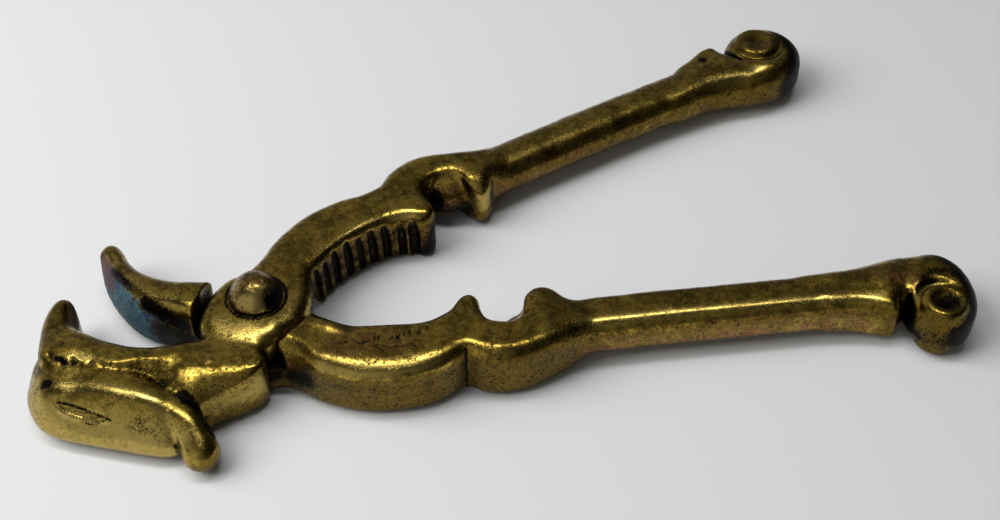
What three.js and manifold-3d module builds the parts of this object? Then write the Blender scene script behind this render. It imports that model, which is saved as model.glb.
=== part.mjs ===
// Cast brass nutcracker tongs: two crossing levers with a lap joint, held by one domed rivet.
// Millimetres, +Z up. The origin is on the rivet axis, in the plane that the tool lies on.
// +X runs along the middle line between the two handles.
//
// Each lever is drawn in its own shut frame: u along the tool's middle line towards the handle end,
// v to the lever's own handle side. Lever A is turned by +HALF_OPENING about the rivet. Lever B is
// mirrored in v and turned by -HALF_OPENING, which gives the half-open pose.
import Module from "manifold-3d";
import * as THREE from "three";
import { mergeVertices } from "three/addons/utils/BufferGeometryUtils.js";

// ---- driving dimensions -------------------------------------------------------------------------
const BODY_THICKNESS = 12.4; // jaws, boss and head
const BAR_THICKNESS = 9.0; // handle bars, centred on the body
const VOLUTE_THICKNESS = 11.2; // scrolled handle ends, centred on the body
const HALF_OPENING = THREE.MathUtils.degToRad(13.94);
const RUNNING_GAP = 0.3; // between faces that slide on each other
const MIDDLE = BODY_THICKNESS / 2;

const RIVET_SHANK_RADIUS = 3.0;
const RIVET_HEAD_RADIUS = 5.4;
const RIVET_HEAD_HEIGHT = 4.9;
const RIVET_TAIL_RADIUS = 4.6;
const RIVET_TAIL_DEPTH = 1.4;

const LAP_RADIUS_A = 14.1; // lever A's lower half is cut away inside this circle
const LAP_RADIUS_B = 10.7; // lever B's upper half is cut away inside this circle

const GROOVE_COUNT = 10; // nut grip grooves across each nut face
const GROOVE_RADIUS = 0.75;

const JAW_BEVEL = 1.2;
const HEAD_BEVEL = 1.8;
const CURVE_STEPS = 2; // straight pieces between two outline points

// ---- solids -------------------------------------------------------------------------------------
const wasm = await Module();
wasm.setup();

function toSolid(geometry) {
  const plain = geometry.clone();
  plain.deleteAttribute("normal");
  plain.deleteAttribute("uv");
  const merged = mergeVertices(plain, 1e-4);
  return new wasm.Manifold(
    new wasm.Mesh({
      numProp: 3,
      vertProperties: new Float32Array(merged.attributes.position.array),
      triVerts: new Uint32Array(merged.index.array),
    }),
  );
}

function toGeometry(solid) {
  const mesh = solid.getMesh();
  const geometry = new THREE.BufferGeometry();
  geometry.setAttribute("position", new THREE.BufferAttribute(mesh.vertProperties, 3));
  geometry.setIndex(new THREE.BufferAttribute(mesh.triVerts, 1));
  geometry.computeVertexNormals();
  return geometry;
}

// A smooth closed outline through its points.
function smoothShape(points, steps = CURVE_STEPS) {
  const corners = points.map(([u, v]) => new THREE.Vector3(u, v, 0));
  const curve = new THREE.CatmullRomCurve3(corners, true, "centripetal");
  const ring = curve.getPoints(points.length * steps).slice(0, -1);
  return new THREE.Shape(ring.map((p) => new THREE.Vector2(p.x, p.y)));
}

// A plate of the given shape between two heights, with rounded top and bottom edges.
function roundedPlate(shape, bottom, top, bevel, bevelSegments = 2) {
  const geometry = new THREE.ExtrudeGeometry(shape, {
    depth: top - bottom - 2 * bevel,
    bevelEnabled: true,
    bevelSize: bevel,
    bevelThickness: bevel,
    bevelOffset: -bevel,
    bevelSegments,
    curveSegments: 10,
  });
  geometry.translate(0, 0, bottom + bevel);
  return toSolid(geometry);
}

// A plate that stands about the body's middle height.
function middlePlate(shape, thickness, bevel, bevelSegments) {
  return roundedPlate(shape, MIDDLE - thickness / 2, MIDDLE + thickness / 2, bevel, bevelSegments);
}

// A plain prism of the given shape between two heights, used for cutting.
function prism(shape, bottom, top) {
  const geometry = new THREE.ExtrudeGeometry(shape, {
    depth: top - bottom,
    bevelEnabled: false,
    curveSegments: 36,
  });
  geometry.translate(0, 0, bottom);
  return toSolid(geometry);
}

function cylinder(radius, bottom, top, u = 0, v = 0, sides = 32) {
  const geometry = new THREE.CylinderGeometry(radius, radius, top - bottom, sides);
  geometry.rotateX(Math.PI / 2);
  geometry.translate(u, v, (bottom + top) / 2);
  return toSolid(geometry);
}

function ball(radius, u, v, z) {
  const geometry = new THREE.SphereGeometry(radius, 16, 10);
  geometry.translate(u, v, z);
  return toSolid(geometry);
}

// A round tube through 3-D points.
function tube(points, radius, steps) {
  const path = new THREE.CatmullRomCurve3(points.map((p) => new THREE.Vector3(...p)));
  const section = new THREE.Shape().absarc(0, 0, radius, 0, 2 * Math.PI, false);
  return toSolid(
    new THREE.ExtrudeGeometry(section, { steps, extrudePath: path, bevelEnabled: false, curveSegments: 4 }),
  );
}

// ---- outlines, in each lever's shut frame ---------------------------------------------------------
// The nut faces, from the boss to the first tooth's tip.
const nutFaceA = [[12.2, 0.4], [14.5, 1.9], [17.5, 3.3], [22, 4.6], [27, 5.1], [31.5, 4.9], [34.5, 3.8], [37, 2.2]];
const nutFaceB = [[11, 3.7], [13.2, 5.1], [15.5, 6.8], [18.5, 8.1], [23, 8.4], [29.5, 8.1], [33, 7.0], [36.5, 4.8]];

// First tooth, round notch and second tooth, then the start of the bar.
const toothedEdgeA = [
  [39.4, 1.4], [41.4, 2.6], [41.6, 5.5], [41.9, 8.2], [43.4, 10.3], [46, 11.1], [48.8, 10.8],
  [50.9, 9.3], [51.2, 6.6], [51.9, 4.2], [54, 3.2], [56.6, 3.9], [59.6, 5.6], [62.6, 8], [63, 11.2],
];
const toothedEdgeB = [
  [39.3, 2.7], [41.2, 3.9], [41.9, 6.4], [43.0, 8.8], [45.4, 9.8], [48.4, 9.6],
  [50.0, 8.2], [50.4, 6.0], [51.6, 2.8], [54.3, 1.6], [57.2, 2.4], [60, 4.2], [62.4, 6.8], [62.6, 10],
];

// The levers' outer edges past the nut jaw, run back from the bar to the boss.
const outerEdgeA = [
  [61, 13.8], [58, 14.7], [54, 15.8], [49.2, 18.0], [44.7, 18.8], [39.2, 17.6], [35.5, 15.4],
  [31.5, 15.2], [26, 16.1], [20, 16.0], [14.5, 14.7], [9.5, 12.4], [6, 10.1], [2.5, 8.5],
];
const outerEdgeB = [
  [61, 12.6], [58, 14.5], [54.5, 16.2], [50, 18.0], [44.6, 18.5], [40.5, 17.4], [37.5, 17.2],
  [34, 19.0], [29.5, 20.6], [23.5, 21.0], [16.5, 19.9], [11, 17.5], [7.6, 15.0], [4.8, 13.3], [1.5, 13.5],
];

// Lever A's boss: the edge that turns past lever B's claw, then the edge over lever B's neck.
const bossLeftA = [[-1, 8.2], [-4.6, 7.3], [-7.4, 5.6], [-9.8, 3.4], [-11.6, 0.8]];
const bossNearA = [[-4.2, -10.6], [0, -10.3], [4.4, -9.2], [8.2, -6.0], [10.6, -2.2]];
// Lever B's boss half: the edge under lever A's handle, then the edge under lever A's jaw.
const bossNearB = [[-3, 12.9], [-7.6, 10.4], [-10.6, 6.4]];
const bossFarB = [[-4.6, -6.6], [0, -8.3], [4.6, -6.9], [8.0, -2.6]];

// Lever A's front jaw: biting edge, hooked tip, outer edge, then the back of the head and the flank.
const frontJawA = [
  [-12.2, -1.9], [-15, -1.4], [-18.3, -0.5], [-22, 1.3], [-25.2, 4], [-28, 7.4], [-29.9, 11],
  [-30.4, 14.4], [-29.4, 17.2], [-29.2, 19.6], [-30.8, 21.2], [-33.2, 20.7], [-36.2, 18.4], [-38.6, 14.8],
  [-40.6, 11.5], [-43.4, 10], [-45, 5.5], [-44.8, 0.6], [-42.6, -3.2], [-38.6, -7.6], [-34.4, -11.8],
  [-30, -16], [-26.6, -17.6], [-23, -16], [-20.4, -14.6], [-16.5, -14.8], [-11, -15.4], [-7.4, -15.2],
  [-5.2, -13.7],
];
// Lever B's front jaw: biting edge, claw tip, outer edge.
const clawB = [
  [-12.2, 2.4], [-16, 1.5], [-20, 0.2], [-23.4, -2.0], [-26.4, -5.3], [-29, -9.4], [-30.8, -13.4],
  [-31.6, -17], [-30.8, -19.6], [-28.8, -20.2], [-27, -18.4], [-25.4, -14.8], [-22.8, -11.6], [-19, -9.0],
  [-14.5, -7.3], [-9.5, -6.6],
];

// The bars: middle line and width. Each one ends in a nub on its outer side.
const barA = { line: [[50, 11.4], [60, 10.4], [75, 10.0], [92, 9.4], [108, 8.6], [121, 8.2]], width: 10.2 };
const barB = { line: [[50, 10.6], [60, 8.2], [75, 7.2], [92, 6.7], [108, 6.2], [121, 6.0]], width: 9.3 };
const nubA = { u: 119.3, v: 11.2, halfLength: 4.6, halfWidth: 4.4 };
const nubB = { u: 119.4, v: 8.6, halfLength: 4.6, halfWidth: 4.4 };
const BAR_CORNER = 3.2; // rounding of the bar's four long edges
// The inner side of each bar swells out into the scroll.
const swellA = [[106, 4.2], [113, 2.9], [119, 1.0], [124, -1.0], [129, -1.6], [133, 2], [124, 7], [112, 8.4]];
const swellB = [[106, 2.2], [113, 1.2], [119, -0.4], [124, -1.6], [128, -1.4], [132, 3], [124, 6.6], [112, 6.6]];

// Scrolled ends: an oval disc, and the round knob that the scroll ends in.
const voluteA = { u: 131.4, v: 7.0, halfLength: 8.6, halfWidth: 8.8, knobU: 130.6, knobV: 10.0, knobRadius: 4.5 };
const voluteB = { u: 130.6, v: 8.1, halfLength: 7.2, halfWidth: 9.8, knobU: 129.8, knobV: 12.3, knobRadius: 4.4 };
const CHANNEL_RADIUS = 1.0; // half-round channel round the knob
const SLOT_WIDTH = 1.3; // open slot between the bar's nub and the knob

// ---- parts of a lever -----------------------------------------------------------------------------
// A bar of rounded rectangular section along its middle line, with its nub and its swelling.
function bar({ line, width }, nub, swell) {
  const path = new THREE.CatmullRomCurve3(line.map(([u, v]) => new THREE.Vector3(u, v, MIDDLE)));
  const x = BAR_THICKNESS / 2;
  const y = width / 2;
  const r = BAR_CORNER;
  const section = new THREE.Shape();
  section.absarc(x - r, y - r, r, 0, Math.PI / 2, false);
  section.absarc(r - x, y - r, r, Math.PI / 2, Math.PI, false);
  section.absarc(r - x, r - y, r, Math.PI, 1.5 * Math.PI, false);
  section.absarc(x - r, r - y, r, 1.5 * Math.PI, 2 * Math.PI, false);
  const rod = toSolid(
    new THREE.ExtrudeGeometry(section, { steps: 12, extrudePath: path, bevelEnabled: false, curveSegments: 3 }),
  );
  const bump = new THREE.SphereGeometry(1, 16, 10);
  bump.scale(nub.halfLength, nub.halfWidth, BAR_THICKNESS / 2 - 0.2);
  bump.translate(nub.u, nub.v, MIDDLE);
  const swelling = middlePlate(smoothShape(swell), BAR_THICKNESS, 1);
  return rod.add(toSolid(bump)).add(swelling);
}

function volute(place) {
  const oval = new THREE.Shape().absellipse(
    place.u, place.v, place.halfLength, place.halfWidth, 0, 2 * Math.PI, false,
  );
  const disc = middlePlate(oval, VOLUTE_THICKNESS, 2.2);
  const arcRadius = place.knobRadius + CHANNEL_RADIUS;
  const route = [];
  for (let degrees = 170; degrees <= 380; degrees += 30) {
    const angle = THREE.MathUtils.degToRad(degrees);
    const u = place.knobU + arcRadius * Math.cos(angle);
    const v = place.knobV + arcRadius * Math.sin(angle);
    route.push([u, v]);
  }
  const top = MIDDLE + VOLUTE_THICKNESS / 2;
  const bottom = MIDDLE - VOLUTE_THICKNESS / 2;
  const upperChannel = tube(route.map(([u, v]) => [u, v, top]), CHANNEL_RADIUS, 10);
  const lowerChannel = tube(route.map(([u, v]) => [u, v, bottom]), CHANNEL_RADIUS, 10);
  return disc.subtract(upperChannel).subtract(lowerChannel);
}

// The slot that sets the knob free from the bar's nub.
function knobSlot(place) {
  const left = place.knobU - place.knobRadius - CHANNEL_RADIUS - SLOT_WIDTH / 2;
  const start = place.knobV - 3.5;
  const slot = new THREE.Shape();
  slot.moveTo(left, start);
  slot.lineTo(left + SLOT_WIDTH, start);
  slot.lineTo(left + SLOT_WIDTH + 1, start + 14);
  slot.lineTo(left + 1, start + 14);
  return prism(slot, -1, BODY_THICKNESS + 1);
}

// Upright half-round grooves along a nut face, clear of its two ends.
function cutGrooves(solid, face) {
  const curve = new THREE.SplineCurve(face.map(([u, v]) => new THREE.Vector2(u, v)));
  let result = solid;
  for (let i = 0; i < GROOVE_COUNT; i += 1) {
    const point = curve.getPointAt((i + 0.6) / GROOVE_COUNT);
    const groove = cylinder(GROOVE_RADIUS, -1, BODY_THICKNESS + 1, point.x, point.y, 8);
    result = result.subtract(groove);
  }
  return result;
}

// Bird's beak on the end of the head: a bent tapering finger that ends in a round bead near the table.
function beak() {
  const spine = [[-28, -10.5, 7.0], [-24.6, -13.6, 7.4], [-22.8, -17, 6.4], [-22.9, -20.4, 4.6]];
  return tube(spine, 3.3, 6).add(ball(3.6, -22.9, -20.8, 4.0));
}

function leverA() {
  const jawPlate = smoothShape([...nutFaceA, ...toothedEdgeA, ...outerEdgeA, ...bossLeftA, [-12, -4], ...bossNearA]);
  const headPlate = smoothShape([...frontJawA, ...bossNearA.slice(0, 2), [4, -4], [2, 4], ...bossLeftA]);
  const solid = middlePlate(jawPlate, BODY_THICKNESS, JAW_BEVEL)
    .add(middlePlate(headPlate, BODY_THICKNESS, HEAD_BEVEL))
    .add(beak())
    .add(bar(barA, nubA, swellA))
    .add(volute(voluteA))
    .subtract(knobSlot(voluteA))
    .subtract(cylinder(LAP_RADIUS_A, -1, MIDDLE + RUNNING_GAP / 2, 0, 0, 48))
    .subtract(cylinder(RIVET_SHANK_RADIUS + RUNNING_GAP, -1, BODY_THICKNESS + 1));
  return cutGrooves(solid, nutFaceA);
}

// Lever B's upper half gives way to lever A's boss, as it stands when the tool is shut, and to lever A's
// flank on the near side.
function bossClearance() {
  const grow = 1 + RUNNING_GAP / 9;
  const edge = bossLeftA.map(([u, v]) => [u * grow, -v * grow]);
  const flank = [[-12.9, 1.9], [-15.5, 5], [-14, 12], [-6, 17.5], [4.6, 18], [5.2, 13], [7.6, 7.4]];
  const shape = smoothShape([...edge, ...flank, [8, 0], [4, -7]]);
  return prism(shape, MIDDLE - RUNNING_GAP / 2, BODY_THICKNESS + 1);
}

function leverB() {
  const jawPlate = smoothShape([...nutFaceB, ...toothedEdgeB, ...outerEdgeB, ...bossNearB, ...bossFarB]);
  const clawPlate = smoothShape([...clawB, ...bossFarB.slice(0, 3), [4, 4], ...bossNearB.slice(1)]);
  const solid = middlePlate(jawPlate, BODY_THICKNESS, JAW_BEVEL)
    .add(middlePlate(clawPlate, BODY_THICKNESS, JAW_BEVEL))
    .add(bar(barB, nubB, swellB))
    .add(volute(voluteB))
    .subtract(knobSlot(voluteB))
    .subtract(cylinder(LAP_RADIUS_B, MIDDLE - RUNNING_GAP / 2, BODY_THICKNESS + 1, 0, 0, 48))
    .subtract(bossClearance())
    .subtract(cylinder(RIVET_SHANK_RADIUS + RUNNING_GAP, -1, BODY_THICKNESS + 1))
    .subtract(cylinder(RIVET_TAIL_RADIUS + RUNNING_GAP, -1, RIVET_TAIL_DEPTH + RUNNING_GAP));
  return cutGrooves(solid, nutFaceB).mirror([0, 1, 0]);
}

// Rivet: domed head on top, round shank, and a flush tail set in lever B's underside.
function rivetGeometry() {
  const seat = BODY_THICKNESS + RUNNING_GAP;
  const profile = [
    new THREE.Vector2(0, 0),
    new THREE.Vector2(RIVET_TAIL_RADIUS, 0),
    new THREE.Vector2(RIVET_TAIL_RADIUS, RIVET_TAIL_DEPTH),
    new THREE.Vector2(RIVET_SHANK_RADIUS, RIVET_TAIL_DEPTH),
    new THREE.Vector2(RIVET_SHANK_RADIUS, seat),
    new THREE.Vector2(RIVET_HEAD_RADIUS, seat),
  ];
  const domeSteps = 6;
  for (let i = 1; i < domeSteps; i += 1) {
    const angle = (i / domeSteps) * (Math.PI / 2);
    const radius = RIVET_HEAD_RADIUS * Math.cos(angle);
    profile.push(new THREE.Vector2(radius, seat + RIVET_HEAD_HEIGHT * Math.sin(angle)));
  }
  profile.push(new THREE.Vector2(0, seat + RIVET_HEAD_HEIGHT));
  const geometry = new THREE.LatheGeometry(profile, 32);
  geometry.rotateX(Math.PI / 2);
  return toGeometry(toSolid(geometry));
}

// ---- assembly -------------------------------------------------------------------------------------
function brassPiece(name, geometry, color) {
  const material = new THREE.MeshStandardMaterial({ color, roughness: 0.38, metalness: 1.0 });
  const mesh = new THREE.Mesh(geometry, material);
  mesh.name = name;
  return mesh;
}

const tongs = new THREE.Group();

const upperLever = brassPiece("lever_a", toGeometry(leverA()), 0x8f7638);
upperLever.rotation.z = HALF_OPENING;
tongs.add(upperLever);

const lowerLever = brassPiece("lever_b", toGeometry(leverB()), 0x957c3c);
lowerLever.rotation.z = -HALF_OPENING;
tongs.add(lowerLever);

tongs.add(brassPiece("pivot_rivet", rivetGeometry(), 0x86653a));

export default tongs;
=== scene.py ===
"""Cast brass nutcracker tongs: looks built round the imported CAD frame.

Each lever is modelled as one casting from rounded plates, rods and carved lines, on a grid of signed
distances in the lever's own shut frame (u along the tool, v to the handle side, z up, millimetres).
The grid's zero surface becomes the mesh, which is then turned to the half-open pose, in metres.
"""
import math
from functools import partialmethod
from itertools import product

import bpy
import numpy as np
from mathutils import Matrix, Vector


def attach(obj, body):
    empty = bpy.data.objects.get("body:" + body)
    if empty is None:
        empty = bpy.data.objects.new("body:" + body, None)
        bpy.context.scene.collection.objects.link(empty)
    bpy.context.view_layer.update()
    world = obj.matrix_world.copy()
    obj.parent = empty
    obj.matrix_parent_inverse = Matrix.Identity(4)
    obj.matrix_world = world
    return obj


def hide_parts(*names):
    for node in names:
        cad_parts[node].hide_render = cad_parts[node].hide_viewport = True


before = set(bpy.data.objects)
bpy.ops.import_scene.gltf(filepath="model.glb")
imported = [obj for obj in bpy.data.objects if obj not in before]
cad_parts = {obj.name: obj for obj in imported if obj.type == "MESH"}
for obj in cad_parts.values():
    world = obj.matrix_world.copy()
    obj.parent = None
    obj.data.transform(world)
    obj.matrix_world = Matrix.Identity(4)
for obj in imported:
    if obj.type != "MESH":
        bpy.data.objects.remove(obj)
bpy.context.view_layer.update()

# ---- sizes, in millimetres ----
HALF_OPENING = math.radians(13.94)
BODY_TOP = 12.4
MIDDLE = 6.2
HALF_GAP = 0.17  # half of the running gap at the lap
BAR_TOP = 10.7
BAR_BOTTOM = 1.7
BAR_START = (53, 64)  # where the jaw's height gives way to the bar's
BAR_END = (116, 126)  # where the bar's height gives way to the scroll's
SCROLL_TOP = 11.7
SCROLL_BOTTOM = 0.6
LAP_RADIUS_A = 14.1
LAP_RADIUS_B = 10.9
SWEEP_GAP = 0.35  # what lever B keeps clear of lever A's swept jaws
SHANK_CLEARANCE = 3.5
TAIL_CLEARANCE = 5.0
TAIL_DEPTH = 1.85
SHANK_RADIUS = 3.0
SHANK_MIDDLE = 7.0
SHANK_HALF = 6.6
TAIL_RADIUS = 4.6
TAIL_TOP = 1.4
DOME_RADIUS = 5.35
DOME_HEIGHT = 4.9
LEVER_CELL = 0.37
RIVET_CELL = 0.22
RIB_COUNT = 9
ROD_MARGIN = 3.5  # how far round a rod its distance is worked out
FAR_OUT = 50.0  # the distance beyond that
CORNERS = list(product((0, 1), repeat=3))  # of a grid cell


# ---- curves ----
def between(a, b, start, end, t):
    """From a at the start to b at the end, linearly in t."""
    return (end - t) / (end - start) * a + (t - start) / (end - start) * b


def smooth_loop(points, steps=6, closed=True):
    """A centripetal Catmull-Rom curve through 2-D or 3-D points."""
    p = np.asarray(points, float)
    if not closed:
        p = np.vstack([2 * p[0] - p[1], p, 2 * p[-1] - p[-2]])
    before, here, after, beyond = (np.roll(p, -k, 0) for k in range(4))
    t1 = np.sqrt(np.linalg.norm(here - before, axis=1))[:, None]
    t2 = t1 + np.sqrt(np.linalg.norm(after - here, axis=1))[:, None]
    t3 = t2 + np.sqrt(np.linalg.norm(beyond - after, axis=1))[:, None]
    rows = []
    for s in np.linspace(0, 1, steps, endpoint=False):
        t = t1 + s * (t2 - t1)
        middle = between(here, after, t1, t2, t)
        early = between(between(before, here, 0, t1, t), middle, 0, t2, t)
        late = between(middle, between(after, beyond, t2, t3, t), t1, t3, t)
        rows.append(between(early, late, t1, t2, t))
    curve = np.stack(rows, 1)
    if closed:
        return curve.reshape(-1, p.shape[1])
    curve = curve[: len(p) - 3].reshape(-1, p.shape[1])
    return np.vstack([curve, p[-2]])


def point_at(line, share):
    """The plan point at a share of an open line's length."""
    run = np.concatenate([[0], np.cumsum(np.linalg.norm(np.diff(line, axis=0), axis=1))])
    return [np.interp(share * run[-1], run, line[:, i]) for i in (0, 1)]


def arc(centre, radii, degrees):
    """Plan points on an ellipse, at angles in degrees."""
    angles = np.radians(degrees)
    return np.stack([centre[0] + radii[0] * np.cos(angles), centre[1] + radii[1] * np.sin(angles)], 1)


def turned(plan, angle):
    """Plan points turned about the pivot."""
    c, s = math.cos(angle), math.sin(angle)
    return plan @ np.array([[c, s], [-s, c]])


def ramp(low, high, x):
    """0 below low, 1 above high, with a smooth step between."""
    t = np.clip((x - low) / (high - low), 0, 1)
    return t * t * (3 - 2 * t)


# ---- signed distances ----
class Grid:
    """A box of cells in a shut frame. Fields on it are negative inside the metal."""

    def __init__(self, low, high, cell):
        self.low = np.array(low, float)
        self.cell = cell
        shape = np.ceil((np.array(high, float) - self.low) / cell).astype(int) + 1
        axes = [self.low[i] + cell * np.arange(shape[i]) for i in range(3)]
        self.u, self.v = np.meshgrid(axes[0], axes[1], indexing="ij")
        self.z = axes[2][None, None, :]
        self.shape = tuple(shape)

    def beside(self, a, b):
        """Each plan point's offset from the nearest point of a segment, and the share along it."""
        e = b - a
        wu, wv = self.u - a[0], self.v - a[1]
        t = np.clip((wu * e[0] + wv * e[1]) / (e @ e), 0, 1)
        return wu - e[0] * t, wv - e[1] * t, t

    def outline(self, loop, blur=3):
        """Signed plan distance to a closed outline, with its corners softened."""
        best = np.full(self.u.shape, 1e9)
        inside = np.zeros(self.u.shape, bool)
        for a, b in zip(loop, np.roll(loop, -1, 0)):
            du, dv, _ = self.beside(a, b)
            best = np.minimum(best, du**2 + dv**2)
            if a[1] != b[1]:
                crossing = (a[1] <= self.v) != (b[1] <= self.v)
                inside ^= crossing & (self.u - a[0] < (self.v - a[1]) / (b[1] - a[1]) * (b[0] - a[0]))
        distance = np.sqrt(best)
        return soften(np.where(inside, -distance, distance), blur)

    def strip(self, line, half_width, blur=3):
        """Signed plan distance to a strip of varying half width along an open line."""
        best = np.full(self.u.shape, 1e9)
        line = np.asarray(line, float)
        widths = np.broadcast_to(half_width, len(line))
        for a, b, wa, wb in zip(line[:-1], line[1:], widths[:-1], widths[1:]):
            du, dv, t = self.beside(a, b)
            best = np.minimum(best, np.hypot(du, dv) - (wa + (wb - wa) * t))
        return soften(best, blur)

    def plate(self, plan, top, bottom, side, edge, low_side=None, low_edge=None, waist=None):
        """A plate with rounded edges. side and edge are the rounding's reach inwards and down, and
        low_side and low_edge are the same for its underside. The waist is where the two meet."""
        top, bottom, side, edge = (self.over_plan(x) for x in (top, bottom, side, edge))
        waist = (top + bottom) / 2 if waist is None else self.over_plan(waist)
        low_side = side if low_side is None else self.over_plan(low_side)
        low_edge = edge if low_edge is None else self.over_plan(low_edge)
        plan = plan[:, :, None]
        halves = []
        upper = (side, edge, self.z - waist, top - waist)
        lower = (low_side, low_edge, waist - self.z, waist - bottom)
        for reach, drop, rise, half in (upper, lower):
            drop = np.minimum(drop, half)
            across = np.maximum((plan + reach) / reach, 0)
            up = np.maximum((rise - (half - drop)) / drop, 0)
            halves.append((np.sqrt(across**2 + up**2) - 1) * np.minimum(reach, drop))
        return np.where(self.z > waist, halves[0], halves[1]).astype(np.float32)

    @staticmethod
    def over_plan(x):
        """A number or a plan field, shaped to spread over the heights."""
        x = np.asarray(x, float)
        return x[:, :, None] if x.ndim else x

    def window(self, low, high):
        """The slices of the grid that a box from low to high covers."""
        first = np.floor((low - self.low) / self.cell).astype(int)
        last = np.ceil((high - self.low) / self.cell).astype(int) + 1
        return tuple(slice(max(a, 0), max(b, 0)) for a, b in zip(first, last))

    def rod(self, points, radii):
        """Distance to a rod of varying radius through 3-D points."""
        field = np.full(self.shape, FAR_OUT, np.float32)
        points = np.asarray(points, float)
        radii = np.broadcast_to(radii, len(points))
        for a, b, ra, rb in zip(points[:-1], points[1:], radii[:-1], radii[1:]):
            margin = max(ra, rb) + ROD_MARGIN
            area = self.window(np.minimum(a, b) - margin, np.maximum(a, b) + margin)
            wu = (self.u[area[0], area[1]] - a[0])[:, :, None]
            wv = (self.v[area[0], area[1]] - a[1])[:, :, None]
            wz = self.z[:, :, area[2]] - a[2]
            e = b - a
            t = np.clip((wu * e[0] + wv * e[1] + wz * e[2]) / max(e @ e, 1e-9), 0, 1)
            gap = np.sqrt((wu - e[0] * t) ** 2 + (wv - e[1] * t) ** 2 + (wz - e[2] * t) ** 2)
            field[area] = np.minimum(field[area], gap - (ra + (rb - ra) * t))
        return field

    def blob(self, centre, radii):
        """Rough distance to an ellipsoid."""
        u = (self.u - centre[0])[:, :, None] / radii[0]
        v = (self.v - centre[1])[:, :, None] / radii[1]
        w = (self.z - centre[2]) / radii[2]
        return ((np.sqrt(u * u + v * v + w * w) - 1) * min(radii)).astype(np.float32)

    def disc(self, radius, centre=(0, 0)):
        """Signed plan distance to a circle."""
        return np.hypot(self.u - centre[0], self.v - centre[1]) - radius

    def prism(self, plan, *limits):
        """A plan field repeated at every height, and cut where a field of the limits is outside."""
        field = plan[:, :, None] + 0 * self.z
        for limit in limits:
            field = np.maximum(field, limit)
        return field


def soften(field, rounds):
    """Blurs a field a little along each of its axes."""
    for _ in range(rounds):
        for axis in range(field.ndim):
            rows = np.moveaxis(field, axis, 0)
            blurred = rows.copy()
            blurred[1:-1] = 0.25 * rows[:-2] + 0.5 * rows[1:-1] + 0.25 * rows[2:]
            field = np.moveaxis(blurred, 0, axis)
    return field


def join(a, b, blend):
    """Smooth union of two fields."""
    share = np.clip(0.5 + 0.5 * (b - a) / blend, 0, 1)
    return b + (a - b) * share - blend * share * (1 - share)


def carve(a, b, blend):
    """Smooth cut of field b out of field a."""
    return -join(-a, b, blend)


def sample(field, grid, points):
    """Trilinear values of a field at points."""
    at = np.clip((points - grid.low) / grid.cell, 0, np.array(grid.shape) - 1.001)
    base = at.astype(int)
    share = (1 - (at - base), at - base)
    value = np.zeros(len(points))
    for i, j, k in CORNERS:
        weight = share[i][:, 0] * share[j][:, 1] * share[k][:, 2]
        value += weight * field[tuple((base + (i, j, k)).T)]
    return value


def slope(field, grid, points):
    """Gradient of a field at points."""
    step = 0.5 * grid.cell
    rows = [
        sample(field, grid, points + shift) - sample(field, grid, points - shift)
        for shift in step * np.eye(3)
    ]
    return np.stack(rows, 1) / (2 * step)


def surface(field, grid):
    """Vertices and quads of the field's zero surface."""
    inside = field < 0
    units = np.eye(3, dtype=int)
    nu, nv, nz = field.shape
    count = np.zeros((nu - 1, nv - 1, nz - 1), np.int8)
    for i, j, k in CORNERS:
        count += inside[i : nu - 1 + i, j : nv - 1 + j, k : nz - 1 + k]
    cells = np.argwhere((count > 0) & (count < 8))
    number = np.full(count.shape, -1, np.int64)
    number[tuple(cells.T)] = np.arange(len(cells))
    value = {c: field[tuple((cells + c).T)] for c in CORNERS}
    total = np.zeros((len(cells), 3))
    crossings = np.zeros(len(cells))
    for a, unit in product(CORNERS, units):
        b = tuple(a + unit)
        if b in value:
            cut = (value[a] < 0) != (value[b] < 0)
            share = np.where(cut, value[a] / np.where(cut, value[a] - value[b], 1), 0)
            total += np.where(cut[:, None], a + share[:, None] * unit, 0)
            crossings += cut
    points = grid.low + (cells + total / crossings[:, None]) * grid.cell
    quads = []
    for axis in range(3):
        lo, hi = [slice(1, -1)] * 3, [slice(1, -1)] * 3
        lo[axis], hi[axis] = slice(0, -1), slice(1, None)
        first, second = inside[tuple(lo)], inside[tuple(hi)]
        one, two = units[axis - 2], units[axis - 1]
        for leaving, mask in ((True, first & ~second), (False, ~first & second)):
            at = np.argwhere(mask)
            ring = [at, at + one, at + one + two, at + two]
            ids = np.stack([number[tuple(r.T)] for r in ring], 1)
            quads.append(ids if leaving else ids[:, ::-1])
    return points, np.concatenate(quads)


def settle(points, field, grid, rounds=3):
    """Moves points onto the zero surface and returns them with their outward normals."""
    for _ in range(rounds):
        g = slope(field, grid, points)
        size = np.maximum((g * g).sum(1), 0.05)
        move = -(sample(field, grid, points) / size)[:, None] * g
        length = np.linalg.norm(move, axis=1, keepdims=True)
        points = points + move * np.minimum(1, 0.4 * grid.cell / np.maximum(length, 1e-9))
    g = slope(field, grid, points)
    return points, g / np.maximum(np.linalg.norm(g, axis=1, keepdims=True), 1e-9)


def ripple(points, seed, shortest, longest, waves=36):
    """Smooth seeded noise of about -1 to 1 at points, from plane waves."""
    random = np.random.default_rng(seed)
    total = np.zeros(len(points))
    for _ in range(waves):
        direction = random.normal(size=3)
        direction /= np.linalg.norm(direction)
        length = random.uniform(shortest, longest)
        total += np.sin(points @ direction * (2 * math.pi / length) + random.uniform(0, 2 * math.pi))
    return total / math.sqrt(waves / 2) / 2


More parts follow.
